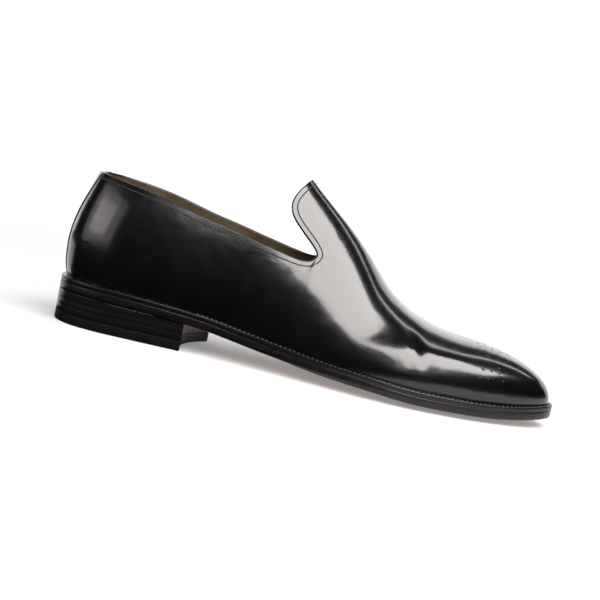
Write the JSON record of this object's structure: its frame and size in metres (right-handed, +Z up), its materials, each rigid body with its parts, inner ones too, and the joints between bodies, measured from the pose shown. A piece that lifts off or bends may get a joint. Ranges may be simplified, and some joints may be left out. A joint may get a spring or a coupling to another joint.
{
  "type": "slip-on shoe",
  "caption": "Right slip-on dress shoe with a one-piece upper, a raised rounded tongue, an almond toe, a welted leather sole and a low stacked heel.",
  "frame": {"origin": "on the floor under the centre of the shoe's bounding box", "axes": "+X towards the toe, +Y towards the wearer's left (the medial side), +Z up"},
  "size_m": [0.3052, 0.0996, 0.1134],
  "materials": {
    "calf": "polished black calf",
    "edge": "burnished black edge",
    "sole": "smooth sole leather",
    "insole": "natural leather",
    "rubber": "matt black rubber"
  },
  "bodies": {
    "root": {"upper": "calf", "back_strip": "calf", "insole": "insole", "welt": "edge", "heel_rand": "edge", "outsole": "sole", "heel_wedge": "edge", "heel_lift_upper": "edge", "heel_lift_lower": "edge", "heel_top_piece": "rubber"}
  },
  "joints": []
}
